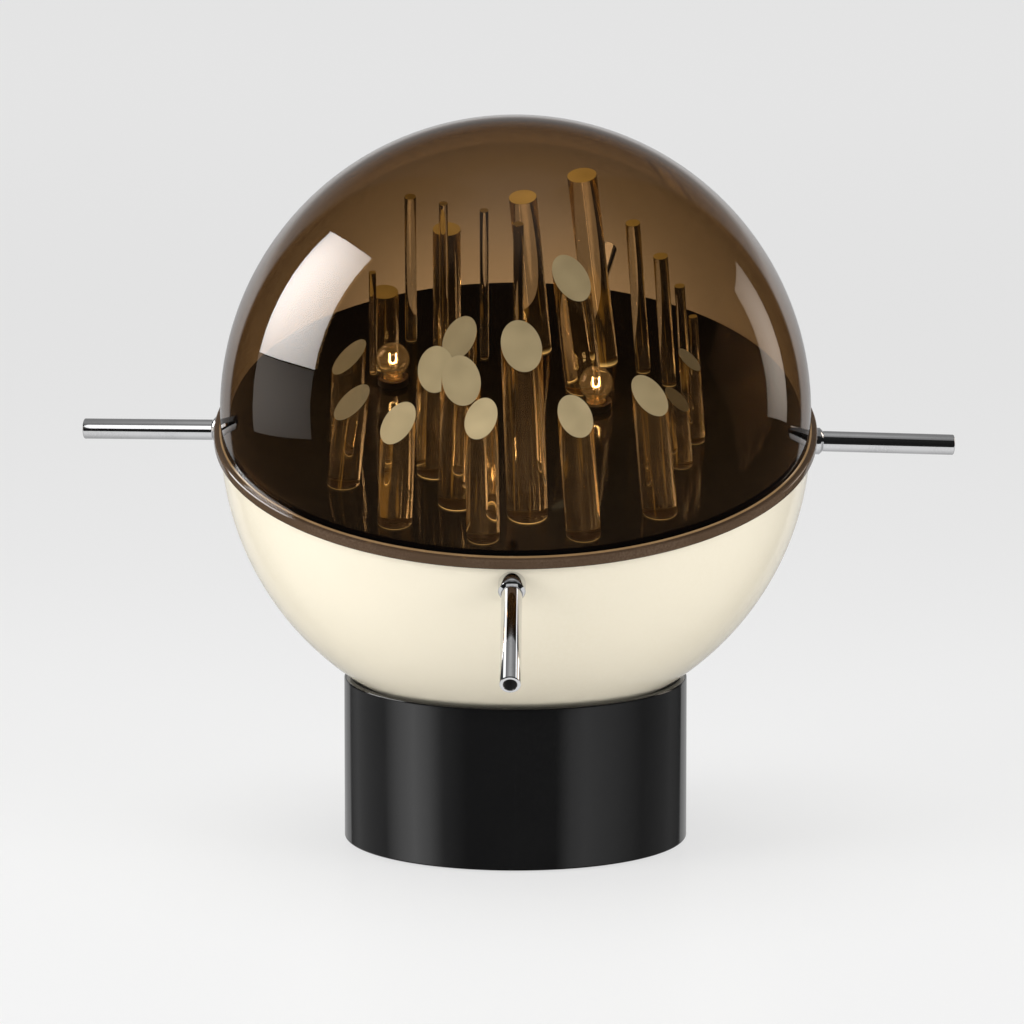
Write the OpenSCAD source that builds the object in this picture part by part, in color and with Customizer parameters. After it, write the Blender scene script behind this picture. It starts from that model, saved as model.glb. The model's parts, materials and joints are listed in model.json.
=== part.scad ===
// Globe table lamp: a cream lower shell and a smoked dome make a ball that rests in a black ring base.
// Clear rods and two small bulbs stand on a black deck inside. Four tube arms are the handles that turn
// the ball. Millimetres, +Z up, origin at the middle of the base where it meets the table.

/* [Base] */
// Outer diameter of the base tube
base_d = 233; // [225:1:250]
// Height of the base above the table
base_h = 112; // [100:1:140]
// Wall of the base tube
base_wall = 5; // [4:0.5:7]
// Thickness of the steel plate in the bottom
plate_t = 6; // [4:1:9]
// Thickness of the felt under the plate
felt_t = 3; // [2:0.5:5]
// Diameter of the cord hole in the back of the base
cord_hole_d = 10; // [6:1:14]
// Width of the ring that the ball rests on
seat_w = 10; // [7:1:14]
// Height of the seat ring at its outside
seat_h = 15; // [10:1:20]

/* [Ball] */
// Diameter of the ball across the cream shell
globe_d = 400; // [396:1:430]
// Lean of the ball towards the front
globe_tilt = 15.4; // [0:0.1:20]
// Wall of the cream shell
shell_wall = 3; // [2:0.5:5]
// Space between the ball and the top edge of the base
rim_gap = 1.2; // [0.8:0.1:3]
// Diameter of the cord gland's neck
gland_d = 16; // [12:1:20]
// Diameter of the gland's flange and nut
gland_flange_d = 26; // [22:1:32]

/* [Dome] */
// Wall of the smoked dome
dome_wall = 4; // [3:0.5:6]
// Height of the dome's centre above the ball's centre
dome_rise = 16.8; // [12:0.2:22]
// Thickness of the dome's flange
flange_t = 7; // [5:0.5:9]
// How far the flange stands out beyond the shell
flange_proud = 4.4; // [3:0.2:8]

/* [Deck] */
// Height of the deck's top over the ball's centre
deck_z = 15.5; // [14:0.5:22]
// Extra lean of the deck towards the front
deck_tilt = 2.5; // [0:0.5:4]
// Thickness of the black deck
deck_t = 4; // [3:0.5:6]
// Width of the ring under the deck
deck_ring_w = 10; // [8:1:14]
// Thickness of the steel ring in the shell's mouth
rim_ring_t = 2.5; // [2:0.5:4]
// Number of screws that hold the deck ring between two arms
deck_screws_n = 2; // [1:1:3]

/* [Arms] */
// Outer diameter of an arm's tube
arm_d = 14; // [10:0.5:15]
// Bore of an arm's tube
arm_bore = 9.5; // [6:0.5:9.5]
// Length of an arm past its collar
arm_reach = 88; // [60:1:130]
// Depth of the arms below the ball's widest line
arm_drop = 16; // [14:1:24]
// Extra droop of the front arm
front_arm_droop = 10; // [0:1:14]
// Diameter of an arm's collar
collar_d = 18.4; // [16:0.2:22]
// Height of an arm's collar
collar_h = 13; // [4:0.5:14]

/* [Rods] */
// Angle at which the cut rods are sawn
rod_cut = 45; // [30:1:55]
// Height above the deck at which the rods' front to back leans would meet
rod_meet = 1000; // [800:50:2000]

/* [Bulbs] */
// Diameter of a bulb's glass
bulb_d = 23; // [20:0.5:25]
// Height of a bulb's middle above the deck
bulb_z = 18; // [17:0.5:24]
// Diameter of a bulb's screw cap
cap_d = 14; // [10:0.5:14]
// Outer diameter of a bulb holder
holder_d = 21; // [19:0.5:24]
// Depth of a bulb holder below the deck
holder_depth = 28; // [24:1:40]

/* [Switch] */
// Diameter of the switch button
button_d = 8; // [6:0.5:9]
// How far the button stands out of its nut
button_proud = 6; // [5:0.5:9]
// Travel of the button
button_travel = 3; // [2:0.5:4]
// Diameter of the switch's threaded bush
bush_d = 12; // [11:0.5:14]
// Length of the switch's body
switch_l = 22; // [16:1:30]

/* [Hidden] */
$fn = 64;
// Facets of the ball where a small piece is cut to its curve
fine_facets = 300;
// Clearances: pieces that turn or slide, pieces that are screwed together, and glued or seated faces
run_gap = 0.4;
screw_gap = 0.2;
seat_gap = 0.3;
// How far a cut runs past the face that it leaves by, and a length beyond the whole lamp
over = 1;
far = 600;

// Base sizes
base_r = base_d / 2;
base_in_r = base_r - base_wall;
base_lift = 1;
base_chamfer = 1;
foot_ledge_w = 12;
foot_ledge_t = 5;
seat_ledge_w = 7;
seat_ledge_t = 5;
seat_sink = 2;
plate_z = felt_t;
plate_top = plate_z + plate_t;
plate_r = base_in_r - run_gap;
felt_inset = 2;
felt_r = plate_r - felt_inset;
felt_screw_room = 2;
base_screw_n = 4;
base_screw_d = 4;
base_screw_head_d = 8;
base_screw_head_t = 2;
base_screw_short = 0.5;
base_screw_start = 45;
base_screw_r = base_in_r - foot_ledge_w / 2;
cord_hole_z = plate_top + foot_ledge_t + cord_hole_d;

// Ball sizes, about the ball's own centre with its pole along Z
globe_r = globe_d / 2;
shell_in_r = globe_r - shell_wall;
globe_z = base_h + sqrt(globe_r * globe_r - base_in_r * base_in_r) + rim_gap;
flange_z = -flange_t / 2;
shell_top = flange_z - seat_gap;
flange_r = globe_r + flange_proud;
flange_chamfer = 1;
gland_wall_t = 3;
gland_bore = gland_d / 2;
gland_neck_proud = 2;
gland_nut_step = 4;

// Seat ring
seat_out_r = base_in_r - run_gap;
seat_in_r = seat_out_r - seat_w;
seat_top = base_h - seat_sink;
seat_z = seat_top - seat_h;

// Dome sizes
dome_r = globe_r;
dome_in_r = dome_r - dome_wall;
dome_mouth_r = sqrt(dome_in_r * dome_in_r - pow(dome_rise - flange_z, 2));
dome_gap = 0.8;

// Deck sizes
deck_r = dome_mouth_r - dome_gap;
rim_ring_top = shell_top - seat_gap;
rim_ring_z = rim_ring_top - rim_ring_t;
deck_ring_inset = 6;
deck_ring_r = deck_r - deck_ring_inset;
deck_ring_in_r = deck_ring_r - deck_ring_w;
rim_ring_lap = 1;
rim_ring_in_r = deck_ring_in_r - rim_ring_lap;
deck_screw_d = 3.5;
deck_screw_head_d = 7;
deck_screw_head_t = 2.2;
deck_screw_bite = 5;
deck_screw_r = (deck_ring_r + deck_ring_in_r) / 2;
deck_screw_room = 1.5;

// Arms: bearing seen from above, from +X towards the back, then extra droop. The back arm rises as the
// front arm droops, so that from the side the two lie in one line
arm_latitude = asin(arm_drop / globe_r);
back_arm_rise = front_arm_droop + 2 * arm_latitude;
arm_right = [6, 0];
arm_left = [169, 0];
arm_back = [77, -back_arm_rise];
arm_front = [269.3, front_arm_droop];
arms = [arm_right, arm_back, arm_left, arm_front];
arm_chamfer = 0.8;
collar_flatness = 2;
collar_dome_r = collar_d / 2 + collar_flatness;
arm_washer_t = 1.5;
arm_nut_lap = 4;
arm_washer_d = arm_d + arm_nut_lap;
arm_nut_t = 5;
arm_nut_flats = arm_d + arm_nut_lap;
arm_tail = 12;
arm_inner = shell_wall + arm_tail;
arm_relief_room = 3;
arm_relief_l = 25;
arm_relief_d = arm_nut_flats / cos(30) + arm_relief_room;

// Rods: foot across and from front to back in hundredths of the deck's radius, diameter, height,
// sideways lean, and for a cut rod the turn of its sawn face to the right
cut_rods = [
    [-59, -20, 22,  61,  3, -70],
    [-59, -52, 22,  58,  6, -60],
    [-41, -80, 23,  69,  2, -35],
    [-28, -44, 24,  74,  1,  -5],
    [-20, -31, 23,  85,  1, -30],
    [-20, -66, 26,  86,  2,   8],
    [-11, -91, 22,  82, -1, -20],
    [  4, -75, 27, 118, -2,  12],
    [ 23, -89, 23,  82, -4,  20],
    [ 49, -73, 23,  82, -5,  40],
    [ 24,  18, 25,  86, -6,  35],
    [ 57, -39, 15,  48, -4,  65],
    [ 62, -21, 14,  60, -4,  70],
];
flat_rods = [
    [ 31,  39, 20, 148, -6],
    [  8,  48, 19, 123, -5],
    [  1,  31,  7, 116,  0],
    [ 45,  31, 10, 117, -4],
    [ 54,  21, 10, 100, -4],
    [ 60,  10,  7,  87, -4],
    [ 64,   1,  6,  72, -4],
    [-37,  55,  8, 117,  0],
    [-25,  20,  6, 141,  0],
    [-24,  31, 19, 112,  0],
    [-11,  41,  6, 118,  0],
    [-50,  29,  5,  80,  0],
    [-46,  35, 19,  59,  0],
];

// Bulbs: feet in hundredths of the deck's radius
bulb_left = [-43, 22];
bulb_right = [28, 4];
bulb_wall = 0.8;
bulb_neck_step = 1;
bulb_neck_d = cap_d - bulb_neck_step;
holder_rise = 5;
holder_flange_lap = 6;
holder_flange_d = holder_d + holder_flange_lap;
holder_flange_t = 3;
holder_floor_t = 4;
cap_rib = 0.5;
cap_ribs_n = 5;
cap_top = holder_rise;
cap_z = -holder_depth + holder_floor_t + seat_gap;
filament_d = 0.9;
filament_loop_r = 2.9;
filament_x = 2.2;
filament_rise = 1;
stem_d = 3;

// Terminal block and the leads under the deck
block_l = 34;
block_w = 18;
block_h = 14;
block_y = 30;
lead_d = 3;
lead_drop = 12;
lead_bow = 16;
elbow_swell = 0.4;

// Switch in the back of the shell
switch_bearing = 52;
switch_latitude = 24;
switch_d = 18;
switch_nut_d = 19;
switch_nut_t = 3;
button_in = 10;
button_chamfer = 1;

// Places

// The ball's own frame: centre of the ball, pole along Z, leaning to the front
module in_ball() {
    translate([0, 0, globe_z]) rotate([globe_tilt, 0, 0]) children();
}

// The deck's frame: middle of the deck's top face
module in_deck() {
    in_ball() translate([0, 0, deck_z]) rotate([deck_tilt, 0, 0]) children();
}

// An arm's frame: on the shell's outer face, Z out along the arm
module on_arm(arm) {
    rotate([0, 0, arm[0]])
        rotate([0, 90 + arm_latitude, 0])
            translate([0, 0, globe_r])
                rotate([0, arm[1], 0])
                    children();
}

// The switch's frame: on the shell's outer face, Z out of the shell
module on_switch() {
    rotate([0, 0, switch_bearing]) rotate([0, 90 + switch_latitude, 0]) translate([0, 0, globe_r]) children();
}

// A foot on the deck, given in hundredths of the deck's radius
function foot(share) = [share[0] * deck_r / 100, share[1] * deck_r / 100, 0];

// Shapes that repeat

module ring(out_r, in_r, h) {
    difference() {
        cylinder(r = out_r, h = h);
        translate([0, 0, -over]) cylinder(r = in_r, h = h + 2 * over);
    }
}

// Copies its children evenly round Z
module around(n, start = 0) {
    for (i = [0:n - 1]) rotate([0, 0, start + i * 360 / n]) children();
}

// Copies its children at even steps between each arm and the next one round Z
module between_arms(n) {
    for (i = [0:len(arms) - 1]) {
        start = arms[i][0];
        next = i + 1 < len(arms) ? arms[i + 1][0] : arms[0][0] + 360;
        for (k = [0:n - 1]) rotate([0, 0, start + (next - start) * (k + 0.5) / n]) children();
    }
}

// Everything above the XY plane
module above() {
    translate([-far / 2, -far / 2, 0]) cube(far);
}

module below() {
    translate([-far / 2, -far / 2, -far]) cube(far);
}

// A straight piece of wire from one point to another
module wire(from, to, d) {
    run = to - from;
    flat_run = norm([run[0], run[1]]);
    translate(from)
        rotate([0, atan2(flat_run, run[2]), atan2(run[1], run[0])])
            cylinder(d = d, h = norm(run));
}

// A bent wire through a list of points, with a small bead at each bend
module bent_wire(points, d) {
    for (i = [0:len(points) - 2]) wire(points[i], points[i + 1], d);
    for (i = [1:len(points) - 2]) translate(points[i]) sphere(d = d + elbow_swell);
}

// Base

// Turned tube with a ledge for the plate at the bottom and a ledge for the seat ring near the top
module base_tube() {
    ledge_r = base_in_r - foot_ledge_w;
    seat_r = base_in_r - seat_ledge_w;
    seat_ledge_z = seat_z - seat_gap;
    color("#0b0b0c") difference() {
        rotate_extrude() polygon([
            [base_in_r, base_lift],
            [base_r - base_chamfer, base_lift],
            [base_r, base_lift + base_chamfer],
            [base_r, base_h - base_chamfer],
            [base_r - base_chamfer, base_h],
            [base_in_r + base_chamfer, base_h],
            [base_in_r, base_h - base_chamfer],
            [base_in_r, seat_ledge_z],
            [seat_r, seat_ledge_z],
            [seat_r, seat_ledge_z - seat_ledge_t],
            [base_in_r, seat_ledge_z - seat_ledge_t - seat_ledge_w],
            [base_in_r, plate_top + foot_ledge_t],
            [ledge_r, plate_top + foot_ledge_t],
            [ledge_r, plate_top],
            [base_in_r, plate_top],
        ]);
        around(base_screw_n, base_screw_start)
            translate([base_screw_r, 0, plate_top - over])
                cylinder(d = base_screw_d + screw_gap, h = foot_ledge_t + 2 * over);
        translate([0, base_in_r - over, cord_hole_z])
            rotate([-90, 0, 0])
                cylinder(d = cord_hole_d, h = base_wall + 2 * over);
    }
}

// Steel plate that weighs the lamp down
module base_plate() {
    color("#6d7074") difference() {
        translate([0, 0, plate_z]) cylinder(r = plate_r, h = plate_t);
        around(base_screw_n, base_screw_start)
            translate([base_screw_r, 0, plate_z - over])
                cylinder(d = base_screw_d + screw_gap, h = plate_t + 2 * over);
    }
}

module base_screws() {
    bite = plate_t + foot_ledge_t - base_screw_short;
    color("#9a9da1") around(base_screw_n, base_screw_start) translate([base_screw_r, 0, plate_z]) {
        cylinder(d = base_screw_d, h = bite);
        translate([0, 0, -base_screw_head_t]) cylinder(d = base_screw_head_d, h = base_screw_head_t);
    }
}

module felt_pad() {
    color("#1d1f20") difference() {
        cylinder(r = felt_r, h = felt_t);
        around(base_screw_n, base_screw_start)
            translate([base_screw_r, 0, -over])
                cylinder(d = base_screw_head_d + felt_screw_room, h = felt_t + 2 * over);
    }
}

// Nylon ring, hollowed to the ball's curve, which the ball rests and swivels on
module seat_ring() {
    color("#17181a") difference() {
        translate([0, 0, seat_z]) ring(seat_out_r, seat_in_r, seat_h);
        translate([0, 0, globe_z]) sphere(r = globe_r + seat_gap);
    }
}

// Gland for the cord at the bottom of the ball, with its flange outside and its nut inside
module cord_gland() {
    neck_top = -shell_in_r + seat_gap + gland_wall_t + gland_neck_proud;
    flange_z0 = -globe_r - seat_gap - gland_wall_t;
    color("#141416") in_ball() difference() {
        union() {
            translate([0, 0, flange_z0]) cylinder(d = gland_flange_d, h = gland_wall_t);
            translate([0, 0, flange_z0]) cylinder(d = gland_d, h = neck_top - flange_z0);
        }
        translate([0, 0, flange_z0 - over]) cylinder(d = gland_bore, h = far);
    }
}

module gland_nut() {
    seat_depth = globe_r - shell_wall - sqrt(pow(shell_in_r, 2) - pow(gland_flange_d / 2, 2));
    color("#141416") in_ball() translate([0, 0, -shell_in_r + seat_depth + seat_gap])
        difference() {
            cylinder(d = gland_flange_d / cos(30) - gland_nut_step, h = gland_wall_t, $fn = 6);
            translate([0, 0, -over]) cylinder(d = gland_d + screw_gap, h = gland_wall_t + 2 * over);
        }
}

// Ball

// Lacquered lower half of the ball
module lower_shell() {
    color("#f1e9d2") in_ball() difference() {
        sphere(r = globe_r);
        sphere(r = shell_in_r);
        translate([0, 0, shell_top]) above();
        for (arm = arms)
            on_arm(arm) translate([0, 0, -far / 8]) cylinder(d = arm_d + screw_gap, h = far / 4);
        translate([0, 0, -globe_r - over]) cylinder(d = gland_d + 2 * seat_gap, h = far / 4);
        on_switch() translate([0, 0, -switch_l]) cylinder(d = bush_d + screw_gap, h = 2 * switch_l);
    }
}

// Flat steel ring in the shell's mouth, cut away round the arms' nuts
module rim_ring() {
    color("#55585c") in_ball() difference() {
        intersection() {
            translate([0, 0, rim_ring_z]) cylinder(r = globe_r, h = rim_ring_t);
            sphere(r = shell_in_r);
        }
        translate([0, 0, rim_ring_z - over]) cylinder(r = rim_ring_in_r, h = rim_ring_t + 2 * over);
        arm_reliefs();
        between_arms(deck_screws_n)
            translate([deck_screw_r, 0, rim_ring_z - over])
                cylinder(d = deck_screw_d + screw_gap, h = rim_ring_t + 2 * over);
    }
}

// Room inside the shell for each arm's end and nut
module arm_reliefs() {
    for (arm = arms)
        on_arm(arm)
            translate([0, 0, -shell_wall - arm_relief_l])
                cylinder(d = arm_relief_d, h = arm_relief_l + shell_wall);
}

// Black wedge ring that carries the deck at its lean
module deck_ring() {
    color("#101010") in_ball() difference() {
        translate([0, 0, rim_ring_top]) ring(deck_ring_r, deck_ring_in_r, far / 8);
        translate([0, 0, deck_z]) rotate([deck_tilt, 0, 0]) translate([0, 0, -deck_t]) above();
        arm_reliefs();
        between_arms(deck_screws_n)
            translate([deck_screw_r, 0, rim_ring_top - over])
                cylinder(d = deck_screw_d + screw_gap, h = deck_screw_bite + deck_screw_room);
    }
}

module deck_screws() {
    color("#9a9da1") in_ball() between_arms(deck_screws_n) translate([deck_screw_r, 0, rim_ring_z]) {
        cylinder(d = deck_screw_d, h = rim_ring_t + deck_screw_bite);
        translate([0, 0, -deck_screw_head_t]) cylinder(d = deck_screw_head_d, h = deck_screw_head_t);
    }
}

// Black glossy deck that the rods stand on
module deck() {
    color("#070707") in_deck() difference() {
        translate([0, 0, -deck_t]) cylinder(r = deck_r, h = deck_t);
        for (bulb = [bulb_left, bulb_right])
            translate(foot(bulb) + [0, 0, -deck_t - over])
                cylinder(d = holder_d + screw_gap, h = deck_t + 2 * over);
    }
}

// Arms

// Chrome tube through the shell, open at its outer end
module arm(arm) {
    length = arm_inner + collar_h + arm_reach;
    color("#c9ccd0") in_ball() on_arm(arm) translate([0, 0, -arm_inner]) rotate_extrude() polygon([
        [arm_bore / 2, 0],
        [arm_d / 2, 0],
        [arm_d / 2, length - arm_chamfer],
        [arm_d / 2 - arm_chamfer, length],
        [arm_bore / 2 + arm_chamfer / 2, length],
        [arm_bore / 2, length - arm_chamfer],
    ]);
}

// Domed collar where an arm meets the shell
module arm_collars() {
    color("#c9ccd0") in_ball() for (arm = arms) difference() {
        on_arm(arm) difference() {
            intersection() {
                translate([0, 0, -collar_h]) cylinder(d = collar_d, h = 2 * collar_h);
                translate([0, 0, collar_h - collar_dome_r]) sphere(r = collar_dome_r);
            }
            translate([0, 0, -2 * collar_h]) cylinder(d = arm_d + screw_gap, h = 4 * collar_h);
        }
        sphere(r = globe_r, $fn = fine_facets);
    }
}

module arm_washers() {
    color("#9a9da1") in_ball() for (arm = arms) on_arm(arm)
        translate([0, 0, arm_washer_z(arm)])
            ring(arm_washer_d / 2, (arm_d + screw_gap) / 2, arm_washer_t);
}

// A flat washer sits in the hollow of the shell on its own outer edge
function arm_washer_z(arm) =
    -shell_wall / cos(arm[1]) - arm_washer_t - seat_gap - (arm_washer_d / 2) * tan(abs(arm[1])) -
    pow(arm_washer_d / 2, 2) / (2 * shell_in_r);

module arm_nuts() {
    color("#9a9da1") in_ball() for (arm = arms) on_arm(arm)
        translate([0, 0, arm_washer_z(arm) - arm_nut_t]) difference() {
            cylinder(d = arm_nut_flats / cos(30), h = arm_nut_t, $fn = 6);
            translate([0, 0, -over]) cylinder(d = arm_d + screw_gap, h = arm_nut_t + 2 * over);
        }
}

// Rods

// A clear rod glued upright on the deck, sawn square or aslant at its top
module rod(row, cut, turn) {
    place = foot(row);
    color("#b99a63") in_deck() difference() {
        translate(place) rotate([atan(place[1] / rod_meet), row[4], 0]) difference() {
            translate([0, 0, -row[2]]) cylinder(d = row[2], h = row[3] + 3 * row[2]);
            translate([0, 0, row[3]]) rotate([0, 0, turn]) rotate([cut, 0, 0]) above();
        }
        below();
    }
}

// Bulbs

module bulb_holder(bulb) {
    color("#1a1a1b") in_deck() translate(foot(bulb)) difference() {
        union() {
            translate([0, 0, -holder_depth]) cylinder(d = holder_d, h = holder_depth + holder_rise);
            translate([0, 0, -deck_t - holder_flange_t]) cylinder(d = holder_flange_d, h = holder_flange_t);
        }
        translate([0, 0, -holder_depth + holder_floor_t])
            cylinder(d = cap_d + 2 * (cap_rib + run_gap), h = holder_depth + holder_rise);
    }
}

// Brass screw cap with its rolled thread
module bulb_cap(bulb) {
    pitch = (cap_top - cap_z) / (cap_ribs_n + 2);
    color("#c9a24a") in_deck() translate(foot(bulb)) {
        translate([0, 0, cap_z]) cylinder(d = cap_d, h = cap_top - cap_z);
        for (i = [1:cap_ribs_n])
            translate([0, 0, cap_z + i * pitch])
                rotate_extrude() translate([cap_d / 2 - cap_rib, 0]) circle(r = 2 * cap_rib);
    }
}

// Thin round glass with a short neck that stands on the cap
module bulb_glass(bulb) {
    color("#e8dcc0") in_deck() translate(foot(bulb)) difference() {
        bulb_form(bulb_d, bulb_neck_d);
        bulb_form(bulb_d - 2 * bulb_wall, bulb_neck_d - 2 * bulb_wall);
    }
}

module bulb_form(d, neck_d) {
    translate([0, 0, bulb_z]) sphere(d = d);
    translate([0, 0, cap_top]) cylinder(d = neck_d, h = bulb_z - cap_top);
}

// Glass stem with two upright wire loops
module bulb_filament(bulb) {
    loop_z = bulb_z + filament_rise;
    color("#ffcf7a") in_deck() translate(foot(bulb)) {
        translate([0, 0, cap_top]) cylinder(d = stem_d, h = loop_z - filament_loop_r - cap_top);
        for (side = [-1, 1]) {
            translate([side * filament_x, 0, loop_z])
                rotate([0, 90, 0])
                    rotate_extrude() translate([filament_loop_r, 0]) circle(d = filament_d);
            wire(
                [0, 0, loop_z - filament_loop_r - filament_rise],
                [side * filament_x, 0, loop_z - filament_loop_r],
                filament_d
            );
        }
    }
}

// Wiring and switch

module terminal_block() {
    color("#e6e2d8") in_deck()
        translate([-block_l / 2, block_y - block_w / 2, -deck_t - block_h])
            cube([block_l, block_w, block_h]);
}

// Leads from the terminal block to the two holders and to the switch
module leads() {
    block_mid = -deck_t - block_h / 2;
    lead_z = -holder_depth - lead_drop;
    left = foot(bulb_left);
    right = foot(bulb_right);
    color("#b08a3c") {
        in_deck() bent_wire([
            [-block_l / 2, block_y, block_mid],
            [-block_l / 2 - lead_bow, block_y, block_mid],
            [left[0], left[1], lead_z],
            [left[0], left[1], -holder_depth],
        ], lead_d);
        in_deck() bent_wire([
            [block_l / 2, block_y, block_mid],
            [block_l / 2 + lead_bow, block_y, block_mid],
            [right[0], right[1], lead_z],
            [right[0], right[1], -holder_depth],
        ], lead_d);
        in_ball() bent_wire([
            ball_point([0, block_y + block_w / 2, block_mid]),
            ball_point([0, block_y + block_w / 2 + lead_bow, block_mid]),
            switch_point(-switch_l - shell_wall - lead_bow),
            switch_point(-switch_l - shell_wall),
        ], lead_d);
    }
}

// A point of the deck's frame in the ball's frame
function ball_point(p) = [
    p[0],
    p[1] * cos(deck_tilt) - p[2] * sin(deck_tilt),
    p[1] * sin(deck_tilt) + p[2] * cos(deck_tilt) + deck_z,
];

// A point on the switch's axis in the ball's frame, at a height over the shell's outer face
function switch_point(h) = (globe_r + h) * [
    cos(switch_latitude) * cos(switch_bearing),
    cos(switch_latitude) * sin(switch_bearing),
    -sin(switch_latitude),
];

// Switch inside the shell, with its threaded bush through the wall
module switch_body() {
    sag = pow(switch_d / 2, 2) / (2 * shell_in_r) + seat_gap;
    color("#202124") in_ball() on_switch() difference() {
        union() {
            translate([0, 0, -shell_wall - switch_l]) cylinder(d = switch_d, h = switch_l - sag);
            translate([0, 0, -shell_wall - switch_l])
                cylinder(d = bush_d, h = switch_l + shell_wall + switch_nut_t);
        }
        translate([0, 0, -button_in - seat_gap]) cylinder(d = button_d + 2 * run_gap, h = far / 8);
    }
}

module switch_nut() {
    color("#c9ccd0") in_ball() difference() {
        on_switch() ring(switch_nut_d / 2, (bush_d + screw_gap) / 2, switch_nut_t);
        sphere(r = globe_r, $fn = fine_facets);
    }
}

// Push button, at rest held out by the switch's spring
module switch_button() {
    color("#c9ccd0") in_ball() on_switch() rotate_extrude() polygon([
        [0, -button_in + button_travel],
        [button_d / 2, -button_in + button_travel],
        [button_d / 2, switch_nut_t + button_proud - button_chamfer],
        [button_d / 2 - button_chamfer, switch_nut_t + button_proud],
        [0, switch_nut_t + button_proud],
    ]);
}

// Dome

// Smoked dome, a little more than half a sphere, with the flange that rests on the shell's rim
module dome() {
    color("#4a3523") in_ball() difference() {
        union() {
            intersection() {
                translate([0, 0, dome_rise]) sphere(r = dome_r);
                translate([0, 0, flange_z]) above();
            }
            translate([0, 0, flange_z]) rotate_extrude() polygon([
                [0, 0],
                [flange_r - flange_chamfer, 0],
                [flange_r, flange_chamfer],
                [flange_r, flange_t - flange_chamfer],
                [flange_r - flange_chamfer, flange_t],
                [0, flange_t],
            ]);
        }
        translate([0, 0, dome_rise]) sphere(r = dome_in_r);
    }
}

base_tube();
base_plate();
base_screws();
felt_pad();
seat_ring();
cord_gland();
gland_nut();
lower_shell();
rim_ring();
deck_ring();
deck_screws();
deck();
arm(arm_front);
arm(arm_back);
arm(arm_left);
arm(arm_right);
arm_collars();
arm_washers();
arm_nuts();
bulb_holder(bulb_left);  // bulb_holder_left
bulb_cap(bulb_left);  // bulb_cap_left
bulb_glass(bulb_left);  // bulb_glass_left
bulb_filament(bulb_left);  // bulb_filament_left
bulb_holder(bulb_right);  // bulb_holder_right
bulb_cap(bulb_right);  // bulb_cap_right
bulb_glass(bulb_right);  // bulb_glass_right
bulb_filament(bulb_right);  // bulb_filament_right
terminal_block();
leads();
switch_body();
switch_nut();
switch_button();
dome();
for (i = [1:len(cut_rods)])
    rod(cut_rods[i - 1], rod_cut, cut_rods[i - 1][5]);
for (i = [1:len(flat_rods)])
    rod(flat_rods[i - 1], 0, 0);
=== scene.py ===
# Globe table lamp: a cream lower shell and a smoked dome make a ball that rests in a black ring base.
# Clear rods and two small bulbs stand on a black deck inside it, and four chrome tubes turn it.
import json
import math

import bmesh
import bpy
from mathutils import Matrix, Vector

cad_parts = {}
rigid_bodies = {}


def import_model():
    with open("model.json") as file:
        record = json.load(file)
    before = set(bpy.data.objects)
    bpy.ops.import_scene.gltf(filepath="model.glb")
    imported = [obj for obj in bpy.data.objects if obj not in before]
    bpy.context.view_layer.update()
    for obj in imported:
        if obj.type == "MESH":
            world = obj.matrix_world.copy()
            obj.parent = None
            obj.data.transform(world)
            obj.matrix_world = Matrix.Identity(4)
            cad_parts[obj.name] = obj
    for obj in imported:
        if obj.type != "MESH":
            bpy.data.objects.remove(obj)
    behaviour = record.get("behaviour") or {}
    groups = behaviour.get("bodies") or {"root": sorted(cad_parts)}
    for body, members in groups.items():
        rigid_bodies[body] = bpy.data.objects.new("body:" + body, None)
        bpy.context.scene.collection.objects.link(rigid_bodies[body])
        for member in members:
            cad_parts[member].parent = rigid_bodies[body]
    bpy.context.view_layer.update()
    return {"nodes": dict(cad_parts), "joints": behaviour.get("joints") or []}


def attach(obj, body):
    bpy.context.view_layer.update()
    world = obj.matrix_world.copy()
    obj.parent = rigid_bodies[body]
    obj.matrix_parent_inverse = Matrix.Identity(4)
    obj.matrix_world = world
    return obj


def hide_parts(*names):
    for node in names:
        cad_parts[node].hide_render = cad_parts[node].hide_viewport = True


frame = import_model()

# Camera
# A long lens, a little above the lamp, that looks down on it by about ten degrees.
camera_place = Vector((-0.0024, -6.716, 1.462))
camera_pitch = math.radians(10.44)
camera_data = bpy.data.cameras.new("camera")
camera_data.sensor_width = 36
camera_data.lens = 353.85
camera_data.clip_end = 60
camera = bpy.data.objects.new("camera", camera_data)
camera.location = camera_place
camera.rotation_euler = (math.pi / 2 - camera_pitch, 0, 0)
bpy.context.scene.collection.objects.link(camera)
bpy.context.scene.camera = camera
bpy.context.scene.view_settings.view_transform = "Standard"
bpy.context.scene.cycles.max_bounces = 24
bpy.context.scene.cycles.transmission_bounces = 20
bpy.context.scene.cycles.glossy_bounces = 10
bpy.context.scene.cycles.transparent_max_bounces = 24

# Studio
# A pale floor that runs back as the backdrop, under large soft lamps. The camera's side is dark to mirrors,
# so that lacquer, chrome and the dome mirror little but the backdrop and the cards of light.


def node(tree, kind, inputs=None, **settings):
    """A shader node. An input given as a socket is linked, and any other is set as a value."""
    made = tree.nodes.new(kind)
    for name, value in settings.items():
        setattr(made, name, value)
    for key, value in (inputs or {}).items():
        if isinstance(value, bpy.types.NodeSocket):
            tree.links.new(value, made.inputs[key])
        else:
            made.inputs[key].default_value = value
    return made


def sum_of(tree, operation, *values):
    """The output of a Math node on one, two or three values or sockets."""
    return node(tree, "ShaderNodeMath", dict(enumerate(values)), operation=operation).outputs[0]


def between(tree, share, low, high):
    """A value between two values or sockets."""
    return node(tree, "ShaderNodeMix", {0: share, 2: low, 3: high}).outputs[0]


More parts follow.
